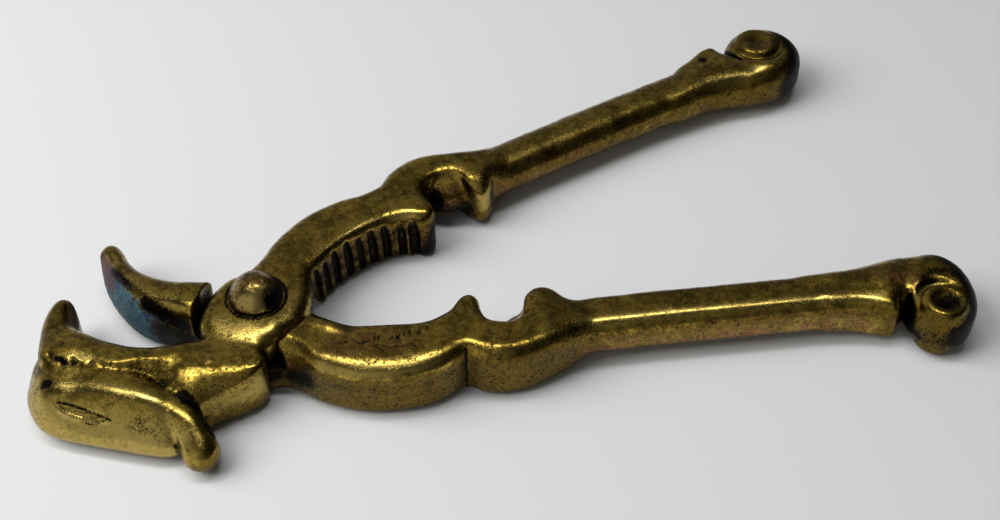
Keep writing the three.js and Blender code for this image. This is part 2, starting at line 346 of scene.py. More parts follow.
# ---- outlines ----
# Plan points of the upper lever (A) and the lower one (B). The first six lists go round the jaw that
# holds the nut: from the pivot to its teeth, and back along its outer side.
NUT_FACE_A = [
    (12.2, 0.4), (14.5, 1.9), (17.5, 3.3), (22, 4.6), (27, 5.1), (31.5, 4.9), (34.5, 3.8), (37, 2.2),
]
NUT_FACE_B = [
    (11, 3.7), (13.2, 5.1), (15.5, 6.8), (18.5, 8.1), (23, 8.4), (29.5, 8.1), (33, 7), (36.5, 4.8),
]
TEETH_A = [
    (39.4, 1.4), (41.4, 2.6), (41.6, 5.5), (41.9, 8.2), (43.4, 10.3), (46, 11.1), (48.8, 10.8),
    (50.9, 9.3), (51.2, 6.6), (51.9, 4), (53.6, 2.9), (55.4, 3.6), (57.4, 5.4), (61, 7.2), (63, 11.2),
]
TEETH_B = [
    (37.4, 3.7), (38.8, 2.4), (40.6, 2.1), (41.8, 3.6), (42, 6.4), (43, 8.8), (45.4, 9.8), (48.4, 9.6),
    (50, 8.2), (50.2, 5.4), (51, 2.6), (53.2, 0.9), (56, 1.2), (58.4, 3), (60.6, 5), (62.6, 7.2),
    (62.8, 10),
]
OUTER_A = [
    (61, 13.8), (58, 14.7), (54, 15.8), (49.2, 18), (44.7, 18.8), (39.2, 17.6), (35.5, 15.4),
    (31.5, 15.2), (26, 16.1), (20, 16), (14.5, 14.7), (9.5, 12.4), (6, 10.1), (2.5, 8.5),
]
OUTER_B = [
    (61, 12.6), (58, 14.5), (54.5, 16.2), (50, 18), (44.6, 18.7), (41.2, 17.9), (39.2, 16.6),
    (38.2, 16.5), (37, 17.4), (34, 19.1), (29.5, 20.6), (23.5, 21), (16.5, 19.9), (11, 17.5), (7.6, 15),
    (4.8, 13.3), (1.5, 13.5),
]
# Stretches of the boss: on the front jaw's side (left), and near to or far from the camera.
BOSS_LEFT_A = [(-1, 8.2), (-4.6, 7.3), (-7.4, 5.6), (-9.8, 3.4), (-11.6, 0.8)]
BOSS_NEAR_A = [(-4.2, -10.6), (0, -10.3), (4.4, -9.2), (8.2, -6), (10.6, -2.2)]
BOSS_NEAR_B = [(-3, 12.9), (-7.6, 10.4), (-10.6, 6.4)]
BOSS_FAR_B = [(-4.6, -6.6), (0, -8.3), (4.6, -6.9), (8, -2.6)]

# Lever A's hooked front jaw, from its biting edge round the tip to the flank beside the boss.
HOOK_BITE = [(-12.2, -1.9), (-15, -1.4), (-18.3, -0.5), (-22, 1.3), (-25.2, 4)]
HOOK_HOLLOW = [(-28, 7.4), (-29.9, 11), (-30.4, 14.4), (-29.4, 17.4), (-29, 20.2)]
HOOK_TIP = [(-30.6, 22.1), (-33, 21.4), (-35.8, 18.5), (-38, 14.8), (-39.5, 11.6)]
HOOK_SEAM = [(-39.4, 7.8), (-37.2, 5.2), (-34.2, 2.6), (-31.2, 0.4), (-28.2, -2.4), (-26, -6)]
HOOK_FLANK = [
    (-24.6, -10.5), (-22.4, -13.6), (-20.4, -14.8), (-16.5, -15), (-11, -15.6), (-7.4, -15.4),
    (-5.2, -13.9),
]
# The bird's head, a lobe along the jaw: its free side, and its side on the jaw.
HEAD_FREE = [
    (-43.8, 9), (-45, 5.2), (-44.8, 0.6), (-42.6, -3.2), (-38.6, -7.6), (-34.4, -11.8), (-30.4, -15.8),
    (-27, -18.2),
]
HEAD_JOINED = [
    (-41, 11.6), (-37.2, 11), (-33.2, 7.2), (-29, 2.8), (-25, -2.6), (-22.2, -8), (-21.4, -12.5),
]
HEAD_A = HEAD_FREE + [(-23.6, -17.2)] + HEAD_JOINED[::-1]
CROWN = 11.7  # height of the head's flat top
CREST_INSET = 6.2  # from the head's free side to where its face begins to fall
FACE_FALL = 0.8  # slope of the head's face below its crest
CREST_BEND = 0.7
BEAK = [
    (-25.8, -8.6, 7), (-23.8, -12.2, 7.2), (-22.8, -15.4, 6.8), (-22.5, -18.6, 5.4), (-22.8, -21, 3.9),
]
EYE_A = np.array([-37.4, -4.6])
EYE_POINTS = 13

# Lever B's front jaw. Its outer side is listed from the boss to the tip.
CLAW_INNER = [
    (-12.2, 2.4), (-16, 1.5), (-20, 0.2), (-23.4, -2), (-26.4, -5.3), (-29, -9.4), (-30.8, -13.4),
]
CLAW_TIP = [(-31.6, -17), (-30.8, -19.6), (-28.8, -20.2), (-27, -18.4)]
CLAW_OUTER = [(-9.5, -6.6), (-14.5, -7.3), (-19, -9), (-22.8, -11.6), (-25.4, -14.8)]

BAR_A = [(50, 11.4), (60, 10.4), (75, 10), (92, 9.4), (108, 8.6), (121, 8.2)]
BAR_B = [(50, 10.6), (60, 8.2), (75, 7.2), (92, 6.7), (108, 6.2), (121, 6)]
SWELL_A = [(104, 5), (113, 2.9), (119, 1), (124, -1), (129, -1.6), (134, 2), (126, 7), (112, 8.8)]
SWELL_B = [(104, 3), (113, 1.2), (119, -0.4), (124, -1.6), (128, -1.4), (133, 3), (124, 7), (112, 7)]
NUB_A = [(110, 8), (111, 13.2), (116, 14.6), (120.5, 15.6), (123, 14.8), (123.2, 11), (122.5, 7), (115, 5)]
NUB_B = [
    (106, 7), (108, 10.4), (113, 11), (118, 12.2), (121.4, 13), (121.9, 12.2), (122.2, 9), (122.6, 5),
    (114, 4),
]
# The slot between nub and scroll: plan line and half widths.
SLOT_A = (
    [(124.6, 6.5), (124, 10), (124.2, 13.5), (124.9, 18)],
    [0.4, 0.5, 0.8, 1.6],
)
SLOT_B = (
    [(124.4, 8.8), (124, 10.4), (123.5, 12.5), (123.1, 16), (123, 21)],
    [0.25, 0.5, 0.9, 1.7, 2.4],
)


# ---- the parts of a lever ----
def rounding(grid, spots, usual):
    """An edge rounding over the plan, with its own value round each (u, v, radius, value) spot."""
    size = np.full(grid.u.shape, float(usual))
    for u, v, radius, value in spots:
        share = np.exp(-(((grid.u - u) ** 2 + (grid.v - v) ** 2) / radius**2) ** 2)
        size = size + (value - size) * share
    return size


def heights(grid, tooth, drop):
    """Top and bottom of a lever over the plan: full at the jaws, thinner along the bar, and pinched at
    one tooth, where the top sinks by the drop."""
    to_bar = ramp(*BAR_START, grid.u)
    to_scroll = ramp(*BAR_END, grid.u)
    top = BODY_TOP + (BAR_TOP - BODY_TOP) * to_bar + (SCROLL_TOP - BAR_TOP) * to_scroll
    bottom = BAR_BOTTOM * to_bar + (SCROLL_BOTTOM - BAR_BOTTOM) * to_scroll
    low = np.exp(-((grid.u - tooth[0]) ** 2 + (grid.v - tooth[1]) ** 2) / 3.6**2)
    return top - drop * low, bottom + 0.5 * drop * low


def handle(grid, bar, width, swell, nub, side, edge):
    """Bar, swelling and the squarer nub that faces the scroll."""
    line = smooth_loop(bar, closed=False)
    rise = ramp(112, 124, grid.u)
    top = BAR_TOP + (SCROLL_TOP - 0.5 - BAR_TOP) * rise
    bottom = BAR_BOTTOM - 0.6 * rise
    field = grid.plate(grid.strip(line, width / 2), top, bottom, side, edge)
    swelling = grid.plate(grid.outline(smooth_loop(swell), 8), top, bottom, 4, 3.8)
    field = join(field, swelling, 2.5)
    flare = grid.plate(grid.outline(smooth_loop(nub), 2), top - 0.2, bottom + 0.2, 2.2, 2.6, 1.4, 1.4)
    return join(field, flare, 1.2)


def scroll(grid, disc, knob, dish, slot):
    """The scrolled end, as an oval disc (centre, radii) with a dished knob (centre, radius) and a
    channel round that, and the slot that frees it from the nub."""
    ku, kv, kr = knob
    oval = arc(disc[:2], disc[2:], np.arange(0, 360, 12))
    body = grid.plate(grid.outline(oval), SCROLL_TOP, SCROLL_BOTTOM, 3.6, 4.2)
    degrees = np.arange(138, 345, 12)
    ring = arc((ku, kv), (kr + 0.5, kr + 0.5), degrees)
    channel = np.interp(degrees, [138, 180, 225, 270, 342], [0.7, 1, 1.4, 1.35, 0.3])
    fade = np.interp(degrees, [270, 342], [0, 0.5])
    for level in (SCROLL_TOP + 0.1 + fade, SCROLL_BOTTOM - 0.1 - fade):
        body = carve(body, grid.rod(np.column_stack([ring, level]), channel), 0.3)
    cap = grid.plate(grid.disc(kr, (ku, kv)), SCROLL_TOP + 0.6, SCROLL_BOTTOM - 0.2, 1.3, 1.2)
    body = join(body, cap, 0.4)
    body = carve(body, grid.blob((ku + 0.7, kv - 0.2, SCROLL_TOP + 2.1 - dish), (3.4, 3, 1.5)), 0.4)
    line, widths = slot
    line = smooth_loop(line, 4, closed=False)
    widths = np.interp(np.arange(len(line)) / 4, np.arange(len(widths)), widths)
    return body, grid.prism(grid.strip(line, widths, 1))


def with_handle(grid, field, bar, swell, nub, disc, knob, slot, settings):
    """A lever's jaws with its handle joined on, smoothed, and its slot cut. The settings are the
    bar's width, side and edge, and how far the knob is dished."""
    width, side, edge, dish = settings
    field = join(field, handle(grid, bar, width, swell, nub, side, edge), 1.6)
    body, gap = scroll(grid, disc, knob, dish, slot)
    return carve(soften(join(field, body, 1.6), 2), gap, 0.5)


def ribs(grid, field, face, first, last, seed):
    """Upright, hand-cut grooves along a nut face, below its top edge."""
    random = np.random.default_rng(seed)
    for share in np.linspace(first, last, RIB_COUNT):
        u, v = point_at(smooth_loop(face, closed=False), share + random.normal(scale=0.006))
        wide = random.uniform(0.72, 1.1)
        foot = (u + random.normal(scale=0.25) + 0.4, v, -1)
        head = (u - 0.4, v, 10 + random.normal(scale=0.3))
        field = carve(field, grid.rod([foot, (u, v, 6.5), head], [wide, wide, 0.7 * wide]), 0.2)
    return field


def bore(grid, field, tail):
    """Clears the rivet's shank, and its tail as well where the lever holds that."""
    field = carve(field, grid.prism(grid.disc(SHANK_CLEARANCE)), 0.2)
    if tail:
        counter = grid.prism(grid.disc(TAIL_CLEARANCE), grid.z - TAIL_DEPTH)
        field = carve(field, counter, 0.2)
    return field


def eye_arcs():
    """The almond eye on the head, as two plan arcs that meet at their ends."""
    lengthways, outwards = np.array([0.63, -0.78]), np.array([-0.78, -0.63])
    share = np.linspace(-1, 1, EYE_POINTS)
    return [
        EYE_A + np.outer(share * 5.2, lengthways) + np.outer(height * (1 - share**2), outwards)
        for height in (-0.35, 1.25)
    ]


def eye_lines(grid, field):
    """The eye on the head: an upper line cut in, and a lower one cut lightly above a raised lid."""
    starts = [np.column_stack([line, np.full(EYE_POINTS, 8.5)]) for line in eye_arcs()]
    (upper, _), (lower, outwards) = (settle(start, field, grid, 60) for start in starts)
    width = 0.34 * (1 - 0.7 * np.linspace(-1, 1, EYE_POINTS) ** 4)
    field = carve(field, grid.rod(upper, width), 0.15)
    field = carve(field, grid.rod(lower + 0.25 * outwards, width), 0.15)
    below = lower + [-0.35, -0.28, -0.35] - 0.05 * outwards
    return join(field, grid.rod(below, 1.1 * width), 0.25)


def jaw_outline_a(steps=3):
    """Lever A's boss and the jaw that holds the nut, in plan."""
    return smooth_loop(NUT_FACE_A + TEETH_A + OUTER_A + BOSS_LEFT_A + [(-12, -4)] + BOSS_NEAR_A, steps)


def hook_outline_a(steps=3):
    """Lever A's hooked front jaw in plan, with its root inside the boss."""
    hook = HOOK_BITE + HOOK_HOLLOW + HOOK_TIP + HOOK_SEAM + HOOK_FLANK
    return smooth_loop(hook + BOSS_NEAR_A[:2] + [(4, -4), (2, 4)] + BOSS_LEFT_A, steps)


def nicks(seed, count, start, run, stroke, length):
    """Short tool marks scattered along a plan run, as two-point plan lines."""
    random = np.random.default_rng(seed)
    marks = []
    for share in np.linspace(0, 1, count):
        at = np.array(start) + np.array(run) * share + random.normal(scale=0.4, size=2)
        angle = math.atan2(stroke[1], stroke[0]) + random.normal(scale=0.35)
        half = 0.5 * length * random.uniform(0.5, 1.2) * np.array([math.cos(angle), math.sin(angle)])
        marks.append(np.array([at - half, at + half]))
    return marks


def cut_nicks(grid, field, lines, height, radius, depth):
    """Cuts plan lines into the top surface, which lies near the height."""
    for line in lines:
        ends = settle(np.column_stack([line, [height] * 2]), field, grid, 30)[0]
        field = carve(field, grid.rod(ends + [0, 0, radius - depth], radius), 0.1)
    return field


GOUGES_A = nicks(7, 9, (-38, 8.4), (3.8, -4.8), (0.6, -0.8), 1.1)
NICKS_A = [
    *nicks(5, 13, (-34, 3), (8, -6.8), (0.9, 0.9), 0.6),
    *nicks(6, 16, (-26, -3.8), (5, -10), (1, 0.6), 0.8),
]
NICKS_B = [
    *nicks(8, 10, (22.6, 12.6), (8.5, -1.4), (-0.7, 1.2), 1.5),
    *nicks(9, 7, (16, 12.8), (13, 2.2), (1.5, 0.9), 2.2),
]


def dished_rim(grid):
    """How far lever A's top sinks at the rim of the boss, on the side that faces the camera."""
    r = np.hypot(grid.u, grid.v)
    facing = ramp(0, 0.8, (-0.35 * grid.u - 0.94 * grid.v) / (r + 0.1))
    return 0.9 * ramp(5.4, 11.5, r) * facing * (1 - ramp(12, 20, r))


def hook_a(grid, sag):
    """The hooked front jaw: rounder on its flank and inside the hook, and sharper along the seam
    against the head, apart from the seam's dented left end."""
    flank = ramp(7, 19, -grid.u) * ramp(-1.5, 2.5, -3.6 - 0.3 * (grid.u + 21) - grid.v)
    from_seam = grid.strip(smooth_loop(HOOK_SEAM, closed=False), 0)
    seam = (1 - ramp(2, 6, from_seam)) * ramp(25, 29, -grid.u)
    dented = ramp(29.5, 33, -grid.u)
    corner = np.exp(-((grid.u + 5) ** 2 + (grid.v + 13.6) ** 2) / 3.0**2)
    across = 2.9 + 6.8 * flank + (4.9 * dented - 1.5) * seam - 1.7 * corner
    down = 2.6 + 2.8 * flank - (1.9 - 0.6 * dented) * seam - 1.6 * corner
    hollow = 1 - ramp(1.2, 3.6, grid.strip(HOOK_HOLLOW, 0))
    hollow = hollow * ramp(10, 15, grid.v) * (1 - ramp(18, 20.5, grid.v))
    across = np.maximum(across + 0.9 * hollow, 1.2)
    down = np.maximum(down + 3.6 * hollow, 1.2)
    tip = ramp(26, 34, -grid.u) * ramp(8, 15, grid.v)
    top, bottom = BODY_TOP - 0.9 * tip - sag, 0.9 * tip
    plan = grid.outline(hook_outline_a(6), 4)
    return grid.plate(plan, top, bottom, across, down, 2.2, 2, MIDDLE - 2.4 * hollow)


def head_a(grid):
    """The bird's head: a flat crown, a crest, and a face that falls to the free side."""
    crown = CROWN - 0.5 * ramp(31, 38, -grid.u) - 1.1 * ramp(28, 21, -grid.u)
    inward = grid.strip(smooth_loop(HEAD_FREE, closed=False), 0)
    crest = CREST_INSET - 0.9 * ramp(36, 41, -grid.u)
    crown = crown - FACE_FALL * CREST_BEND * np.logaddexp(0, (crest - inward) / CREST_BEND)
    joined = ramp(0.5, 6.5, inward - grid.strip(HEAD_JOINED, 0))
    lobe = grid.outline(smooth_loop(HEAD_A), 5)
    return grid.plate(lobe, crown, 0.2, 4.2, 4.4 - 1.6 * joined, 4, 3, 3.4)


def beak_a(grid):
    """The rounded beak, a rod that runs down beside the flank."""
    line = smooth_loop(BEAK, 4, closed=False)
    return grid.rod(line, np.interp(np.arange(len(line)), [0, 6, 12, 16], [3.3, 3.3, 3.2, 3.55]))


def lever_a():
    """The upper lever: both jaws, the bird's head and the handle, with the lap under its boss."""
    grid = Grid((-48, -26, -1.4), (143, 24, 14.2), LEVER_CELL)
    top, bottom = heights(grid, (53.4, 3), 1.3)
    crisp = [(46.5, 6.5, 6.6, 0.9), (24, 3, 9, 1.9), (40, 1, 3.4, 1.9), (53.6, 2.6, 3.2, 3)]
    side = rounding(grid, crisp, 2.9)
    sag = dished_rim(grid)
    jaw = grid.outline(jaw_outline_a(6))
    field = grid.plate(jaw, top - sag, bottom, side, 0.93 * side, 2, 1.8)
    field = join(field, hook_a(grid, sag), 0.8)
    field = join(field, head_a(grid), 0.6)
    field = join(field, beak_a(grid), 0.35)
    disc, knob = (131.4, 7, 8.6, 8.8), (130.9, 9, 4.9)
    field = with_handle(grid, field, BAR_A, SWELL_A, NUB_A, disc, knob, SLOT_A, (10.4, 4.7, 4.2, 0.5))
    field = ribs(grid, field, NUT_FACE_A, 0.08, 0.97, 41)
    field = eye_lines(grid, field)
    punch_mark = grid.rod([(117.5, 11.4, 11.2), (117.6, 11.5, 12.6)], [0.7, 1.1])
    field = carve(field, punch_mark, 0.4)
    field = cut_nicks(grid, field, GOUGES_A, 11.8, 0.36, 0.3)
    field = cut_nicks(grid, field, NICKS_A, 11.5, 0.32, 0.16)
    below_lap = grid.z - (MIDDLE + HALF_GAP)
    field = carve(field, grid.prism(grid.disc(LAP_RADIUS_A), below_lap), 0.2)
    return grid, bore(grid, field, False)


def claw_b(grid):
    """The plain front jaw: thinner towards its tip, with a wide bevel along its biting edge."""
    outline = CLAW_INNER + CLAW_TIP + CLAW_OUTER[::-1] + BOSS_FAR_B[:3] + [(4, 4)] + BOSS_NEAR_B[1:]
    tip = ramp(20, 31, -grid.u)
    low = ramp(12, 20, -grid.u)
    top = BODY_TOP - 0.8 * low - 0.8 * tip
    bottom = 0.4 * low + 0.5 * tip
    outer_side = CLAW_OUTER + [(-28.8, -20.2), (-31, -20)]
    inner = grid.strip(outer_side, 0) - grid.strip(CLAW_INNER, 0)
    inner = ramp(-1.5, 1.5, inner) * ramp(13, 17, -grid.u)
    across, down = 3 + 0.7 * inner, 2.7 + 5.3 * inner
    plan = grid.outline(smooth_loop(outline), 4)
    return grid.plate(plan, top, bottom, across, down, 2, 1.8, MIDDLE - 3.6 * inner)


def clear_sweep(grid, field, above_lap):
    """Cuts away what lever A would touch above the lap, at angles from closed to wide open. Lever B's
    shut frame sees lever A mirrored."""
    for degrees in (8, 14, 20, 27.9, 34, 40):
        for outline in (jaw_outline_a(), hook_outline_a()):
            swept = grid.outline(turned(outline, math.radians(degrees)) * [1, -1], 0) - SWEEP_GAP
            field = carve(field, grid.prism(swept, above_lap), 0.3)
    return field


def lever_b():
    """The lower lever: both jaws and the handle, cut down to the lap where lever A passes over it."""
    grid = Grid((-35, -23, -1.4), (141, 25, 14.2), LEVER_CELL)
    top, bottom = heights(grid, (54, 1.8), 0.4)
    crisp = [
        (46, 6, 6.6, 1), (22, 5, 8, 1.6), (39.5, 2, 3.6, 1.9), (54, 0.5, 3.8, 2.4),
        (4.5, 13.8, 4.5, 5.2),
    ]
    side = rounding(grid, crisp, 3.2)
    jaw = grid.outline(smooth_loop(NUT_FACE_B + TEETH_B + OUTER_B + BOSS_NEAR_B + BOSS_FAR_B))
    belly = np.exp(-((((grid.u - 23) / 12) ** 2 + ((grid.v - 21) / 7) ** 2) ** 2))
    field = grid.plate(jaw, top, bottom, side + 2 * belly, 0.94 * side - 0.5 * belly, 2.2, 2)
    nick = grid.rod([(38.5, 16.8, -1), (38.6, 16.4, 11.2)], [0.45, 0.3])
    field = carve(field, nick, 0.5)
    lump = grid.rod([(10.6, 7, 11.7), (13.6, 8.4, 11.9), (17, 10.4, 11.6)], [0.7, 1, 0.5])
    field = join(field, lump, 1.2)
    field = join(field, claw_b(grid), 0.8)
    disc, knob = (130.6, 8.1, 7.2, 9.8), (129.8, 13, 4.4)
    field = with_handle(grid, field, BAR_B, SWELL_B, NUB_B, disc, knob, SLOT_B, (9.4, 3.1, 3, 1.3))
    field = ribs(grid, field, NUT_FACE_B, 0.14, 0.94, 43)
    field = cut_nicks(grid, field, NICKS_B, 12.4, 0.3, 0.1)
    above_lap = (MIDDLE - HALF_GAP) - grid.z
    field = carve(field, grid.prism(grid.disc(LAP_RADIUS_B), above_lap), 0.2)
    return grid, bore(grid, clear_sweep(grid, field, above_lap), True)


def rivet():
    """The rivet: a domed head on lever A, a shank, and a tail sunk in lever B's underside."""
    grid = Grid((-6.6, -6.6, -0.9), (6.6, 6.6, 18.6), RIVET_CELL)
    r = grid.disc(0)[:, :, None]
    seat = BODY_TOP + 0.12
    height = np.clip((grid.z - seat) / DOME_HEIGHT, 0, 1.3)
    dome = (r - DOME_RADIUS * np.sqrt(np.maximum(1 - height**1.55, 0))) * 0.75
    dome = np.maximum(dome, seat - grid.z)
    dome = np.maximum(dome, grid.z - seat - DOME_HEIGHT)
    shank = np.maximum(r - SHANK_RADIUS, np.abs(grid.z - SHANK_MIDDLE) - SHANK_HALF)
    tail = np.maximum(r - TAIL_RADIUS, np.abs(grid.z - TAIL_TOP / 2) - TAIL_TOP / 2)
    field = np.minimum(np.minimum(soften(dome, 4), shank), tail)
    return grid, field.astype(np.float32)


# ---- meshes ----
# The marks: grime with painted shade, painted shade, teal and plum patina, copper red, painted highlights,
# hammer marks.
MARK_NAMES = ("soot_and_shade", "painted_shade", "teal", "plum", "red", "painted_highlight", "beaten")


def steepness(field, grid, points):
    """The field's slope at points, within the bounds that a distance estimate can use."""
    return np.clip(np.linalg.norm(slope(field, grid, points), axis=1), 0.3, 1)


def openness(field, grid, points, normals):
    """1 where a point sees the open air, towards 0 in corners and channels."""
    scale = steepness(field, grid, points)
    total = np.zeros(len(points))
    for reach, weight in ((0.7, 0.3), (1.6, 0.35), (3.2, 0.35)):
        total += weight * np.clip(sample(field, grid, points + normals * reach) / (reach * scale), -0.2, 1)
    return total


def sharpness(field, grid, points, normals):
    """0 on flat metal, towards 1 on outside edges."""
    reach = 1.1
    inner = -sample(field, grid, points - normals * reach) / (reach * steepness(field, grid, points))
    return np.clip(1 - inner, 0, 1)


def near(points, strokes):
    """Soft strokes along lines of (u, v, z) or plan (u, v) points: (line, radius, strength)."""
    total = np.zeros(len(points))
    for line, radius, strength in strokes:
        line = np.asarray(line, float)
        place = points[:, : line.shape[1]]
        gap = np.full(len(points), 1e9)
        for a, b in zip(line[:-1], line[1:]):
            t = np.clip((place - a) @ (b - a) / max((b - a) @ (b - a), 1e-9), 0, 1)
            gap = np.minimum(gap, ((place - a - t[:, None] * (b - a)) ** 2).sum(1))
        total = np.maximum(total, strength * np.exp(-gap / radius**2))
    return total


def hand_work(points, normals, facts, lumps, fitted):
    """How far each point stands off the true surface, from broad lumps, fine ones and hammer marks.
    A fitted piece keeps its faces true near the pivot, apart from its top."""
    size, seed = lumps
    fine = 0.45 * (1 - 0.8 * facts["painted_highlight"]) * ripple(points, seed + 1, 1.8, 4)
    broad = ripple(points, seed, 5, 12) + fine
    hammered = 0.11 * facts["beaten"] * ripple(points, seed + 2, 1.1, 2.6)
    from_pivot = np.hypot(points[:, 0], points[:, 1])
    free = np.clip(from_pivot - 11, 0, 4) / 4 if fitted else 1
    on_top = (points[:, 2] > 12) & (normals[:, 2] > 0.9)
    return hammered + size * (1 - 0.6 * facts["painted_highlight"]) * broad * np.maximum(free, on_top)


def quad_mesh(name, points, quads, facts):
    """A smooth mesh of quads that carries each fact as a vertex attribute."""
    mesh = bpy.data.meshes.new(name)
    mesh.from_pydata(points, [], quads)
    mesh.validate()
    mesh.shade_smooth()
    for fact, values in facts.items():
        layer = mesh.attributes.new(fact, "FLOAT", "POINT")
        layer.data.foreach_set("value", values.astype(np.float32))
    return mesh


def build(name, maker, lumps, marks, turn=0.0, mirrored=False, fitted=True):
    """A mesh object from a maker's field, turned to its place, with its surface facts."""
    grid, field = maker()
    points, quads = surface(field, grid)
    points, normals = settle(points, field, grid)
    facts = {mark: near(points, marks.get(mark, [])) for mark in MARK_NAMES}
    facts["open"] = openness(field, grid, points, normals)
    facts["edge"] = sharpness(field, grid, points, normals)
    # Upright faces: they carry more pits, and the colour makes them browner as painted shade.
    facts["wall"] = ramp(0.35, 0.85, 1 - np.abs(normals[:, 2])) * (1 - facts["painted_highlight"])
    lift = hand_work(points, normals, facts, lumps, fitted)
    lowest = points[:, 2].min()
    points = points + normals * lift[:, None]
    points[:, 2] = np.maximum(points[:, 2], max(lowest, 0.0))
    if mirrored:
        points[:, 1] *= -1
        quads = quads[:, ::-1]
    points = np.column_stack([turned(points[:, :2], turn), points[:, 2]]) * 0.001
    piece = bpy.data.objects.new(name, quad_mesh(name, points, quads, facts))
    bpy.context.scene.collection.objects.link(piece)
    return piece


# ---- materials ----
class Nodes:
    """A short way to write the nodes of a material or a world."""

    def __init__(self, owner, output):
        owner.use_nodes = True
        self.tree = owner.node_tree
        self.output = self.tree.nodes[output].inputs
        self.where = self.add("TexCoord", {}).outputs

    def link(self, source, socket):
        """Feeds a socket from another one, or sets it to a number or a colour."""
        if isinstance(source, bpy.types.NodeSocket):
            self.tree.links.new(source, socket)
        elif isinstance(source, tuple) and socket.type == "RGBA":
            socket.default_value = (*source, 1.0)
        else:
            socket.default_value = source

    def add(self, kind, inputs, **settings):
        """A node with its settings made and its inputs fed."""
        node = self.tree.nodes.new("ShaderNode" + kind)
        for key, value in settings.items():
            setattr(node, key, value)
        for key, value in inputs.items():
            self.link(value, node.inputs[key])
        return node

    def fact(self, name):
        """A vertex attribute of the mesh."""
        return self.add("Attribute", {}, attribute_name=name).outputs["Fac"]

    def noise(self, per_mm, detail, roughness, distortion=0.0):
        """Cloudy noise of about 0 to 1."""
        inputs = {"Scale": per_mm * 1000, "Detail": detail, "Roughness": roughness}
        inputs |= {"Distortion": distortion, "Vector": self.where["Object"]}
        return self.add("TexNoise", inputs).outputs["Fac"]

    def span(self, value, low, high, out_low=0.0, out_high=1.0):
        """A value spread smoothly from the range low to high over another range."""
        inputs = {"Value": value, "From Min": low, "From Max": high, "To Min": out_low, "To Max": out_high}
        return self.add("MapRange", inputs, interpolation_type="SMOOTHSTEP").outputs["Result"]

    def duller(self, least):
        """1, falling to the least share where a highlight is painted."""
        return self.span(self.fact("painted_highlight"), 0.0, 1.0, 1.0, least)

    def maths(self, operation, first, *others):
        """A maths operation over two or more values, from the left."""
        for other in others:
            first = self.add("Math", {0: first, 1: other}, operation=operation).outputs[0]
        return first

    times = partialmethod(maths, "MULTIPLY")
    plus = partialmethod(maths, "ADD")
    most = partialmethod(maths, "MAXIMUM")

    def mix(self, share, a, b):
        """Colour a, with its share of colour b. Sockets 6, 7 and 2 are the node's colours."""
        return self.add("Mix", {0: share, 6: a, 7: b}, data_type="RGBA").outputs[2]

    def bump(self, height, strength, distance, **under):
        """A normal that a height field tilts, over a Normal where one is given."""
        inputs = {"Height": height, "Strength": strength, "Distance": distance, **under}
        return self.add("Bump", inputs).outputs["Normal"]


# Very dark brown, for grime and for painted shade in corners, gaps and creases.
GRIME_AND_SHADE = (0.008, 0.006, 0.004)
STAIN = (0.07, 0.043, 0.008)
# Cream of the painted highlights.
HIGHLIGHT_CREAM = (0.50, 0.385, 0.13)
COPPER = (0.30, 0.12, 0.06)
PLUM = (0.07, 0.028, 0.028)
TEAL = (0.03, 0.082, 0.094)
NAVY = (0.016, 0.03, 0.065)
FROST = (0.13, 0.21, 0.25)


def holes(n, speck):
    """The coarse and the fine casting pits, most of them on the walls and few under the painted
    highlights.
    """
    area = n.span(n.noise(0.2, 4, 0.65), 0.38, 0.62, 0.15, 1.0)
    area = n.most(area, n.times(n.fact("wall"), 0.85))
    area = n.times(area, n.span(n.fact("painted_highlight"), 0.3, 1.0, 1.0, 0.45))
    coarse = n.span(n.noise(1.6, 5, 0.8, 0.4), 0.515, 0.62)
    return n.times(coarse, area), n.times(n.span(speck, 0.54, 0.66), area)


def worn_metal(n, mottle, gold, brown):
    """Gold on edges and rubbed metal and paler gold under painted highlights, brown between and browner on
    the upright walls as painted shade, with stains and copper red.
    """
    cloud = n.span(n.noise(0.16, 4, 0.6), 0.3, 0.7, 0.0, 0.4)
    rubbed = n.times(n.span(n.fact("edge"), 0.25, 0.8), 0.5)
    # Painted highlights lighten the tone, and upright walls darken it as painted shade.
    painted_highlight, wall = n.times(n.fact("painted_highlight"), 0.6), n.times(n.fact("wall"), -0.62)
    tone = n.plus(n.span(mottle, 0.3, 0.7, 0.0, 0.6), cloud, rubbed, painted_highlight, wall)
    color = n.mix(n.span(tone, 0.18, 0.88), brown, gold)
    # Painted highlight: cream mixed in where highlights are marked.
    color = n.mix(n.span(n.fact("painted_highlight"), 0.2, 1.0, 0.0, 0.5), color, HIGHLIGHT_CREAM)
    stain = n.span(n.noise(0.33, 6, 0.72, 0.5), 0.50, 0.63, 0.0, 0.6)
    color = n.mix(n.times(stain, n.duller(0.3)), color, STAIN)
    return n.mix(n.times(n.fact("red"), n.span(n.noise(0.5, 4, 0.7), 0.42, 0.6)), color, COPPER)


def patina(n, speck):
    """Teal and navy tarnish with paler specks."""
    color = n.mix(n.span(n.noise(0.35, 4, 0.7), 0.35, 0.65), TEAL, NAVY)
    return n.mix(n.span(speck, 0.52, 0.68), color, FROST)


def grime_and_shade(n, mottle, speck):
    """How dark the metal is painted, from grime and painted shade: full in corners and channels, where
    shade is painted from how enclosed each point is, full under the dark strokes, and less on edges.
    """
    # Painted shade with grime: the more enclosed a point, the darker.
    closed = n.times(n.span(n.fact("open"), 0.42, 0.86, 1.0, 0.0), n.duller(0.35))
    strokes = n.times(n.fact("soot_and_shade"), 1.25, n.span(n.fact("edge"), 0.3, 0.75, 1.0, 0.25))
    uneven = n.span(mottle, 0.3, 0.7, -0.17, 0.17)
    specks = n.span(speck, 0.35, 0.65, -0.22, 0.22)
    # The third term is painted shade from its own strokes.
    return n.span(n.plus(closed, strokes, n.times(n.fact("painted_shade"), 1.1), uneven, specks), 0.25, 0.85)


